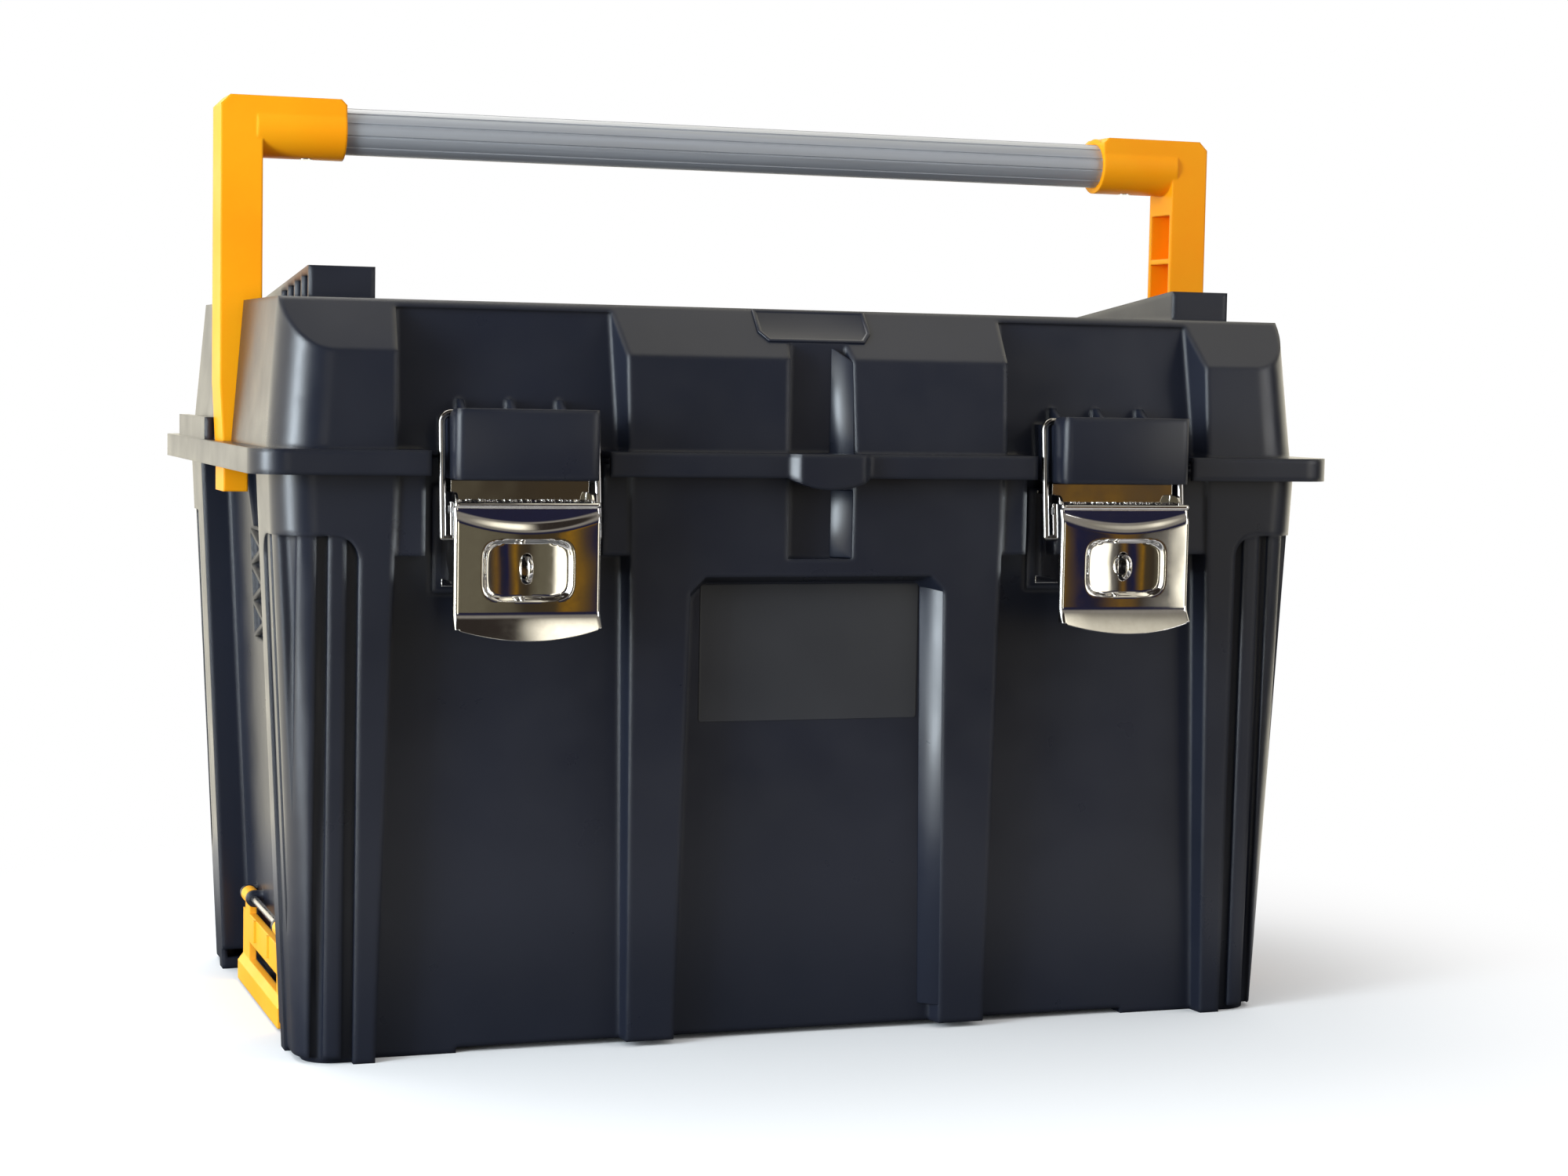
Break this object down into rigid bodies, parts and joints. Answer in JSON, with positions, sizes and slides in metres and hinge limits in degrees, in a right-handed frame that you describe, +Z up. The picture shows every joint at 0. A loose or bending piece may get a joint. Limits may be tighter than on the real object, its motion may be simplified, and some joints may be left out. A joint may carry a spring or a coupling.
{
  "type": "toolbox",
  "caption": "Large moulded toolbox with hinged lid, telescoping carry handle, two over-centre draw latches with padlock staples and side clips.",
  "frame": {"origin": "middle of the outline's plan, on the floor under the feet", "axes": "+X along the length, +Y towards the hinge, +Z up; the latches face -Y"},
  "size_m": [0.595, 0.3684, 0.4926],
  "materials": {
    "black_plastic": "satin moulded",
    "orange_plastic": "satin moulded",
    "yellow_plastic": "satin moulded",
    "tube_aluminium": "anodised satin",
    "chrome": "polished",
    "steel": "plated"
  },
  "bodies": {
    "bin": {"bin_shell": "black_plastic", "hinge_pin_left": "steel", "hinge_pin_right": "steel", "latch_base_left": "chrome", "latch_base_right": "chrome", "latch_rivets": "steel", "lever_pin_left": "steel", "lever_pin_right": "steel", "padlock_staple_left": "chrome", "padlock_staple_right": "chrome", "clip_pin_left": "steel", "clip_pin_right": "steel"},
    "lid": {"lid_shell": "black_plastic"},
    "handle": {"handle_tube": "tube_aluminium", "handle_arm_left": "orange_plastic", "handle_arm_right": "orange_plastic", "handle_screws": "steel"},
    "lever_left": {"lever_left": "chrome"},
    "lever_right": {"lever_right": "chrome"},
    "bail_left": {"bail_left": "chrome"},
    "bail_right": {"bail_right": "chrome"},
    "clip_left": {"side_clip_left": "yellow_plastic"},
    "clip_right": {"side_clip_right": "yellow_plastic"}
  },
  "joints": [
    {"name": "lid_open", "type": "hinge", "parent": "bin", "child": "lid", "pos_m": [0, 0.17775, 0.298], "axis": [-1, 0, 0], "range_deg": [0, 100]},
    {"name": "handle_slide", "type": "slide", "parent": "lid", "child": "handle", "axis": [0, 0, 1], "range_m": [-0.066, 0]},
    {"name": "lever_left_turn", "type": "hinge", "parent": "bin", "child": "lever_left", "pos_m": [-0.1635, -0.16425, 0.28], "axis": [-1, 0, 0], "range_deg": [0, 90]},
    {"name": "bail_left_turn", "type": "hinge", "parent": "lever_left", "child": "bail_left", "pos_m": [-0.1635, -0.16225, 0.266], "axis": [-1, 0, 0], "range_deg": [-112.5, 0]},
    {"name": "lever_right_turn", "type": "hinge", "parent": "bin", "child": "lever_right", "pos_m": [0.1635, -0.16425, 0.28], "axis": [-1, 0, 0], "range_deg": [0, 90]},
    {"name": "bail_right_turn", "type": "hinge", "parent": "lever_right", "child": "bail_right", "pos_m": [0.1635, -0.16225, 0.266], "axis": [-1, 0, 0], "range_deg": [-112.5, 0]},
    {"name": "clip_left_swing", "type": "hinge", "parent": "bin", "child": "clip_left", "pos_m": [-0.26242, 0.00375, 0.051], "axis": [0, 1, 0], "range_deg": [0, 60]},
    {"name": "clip_right_swing", "type": "hinge", "parent": "bin", "child": "clip_right", "pos_m": [0.26242, 0.00375, 0.051], "axis": [0, -1, 0], "range_deg": [0, 60]}
  ],
  "couplings": [
    {"joint": "bail_left_turn", "follows": "lever_left_turn", "ratio": -1.25},
    {"joint": "bail_right_turn", "follows": "lever_right_turn", "ratio": -1.25}
  ]
}
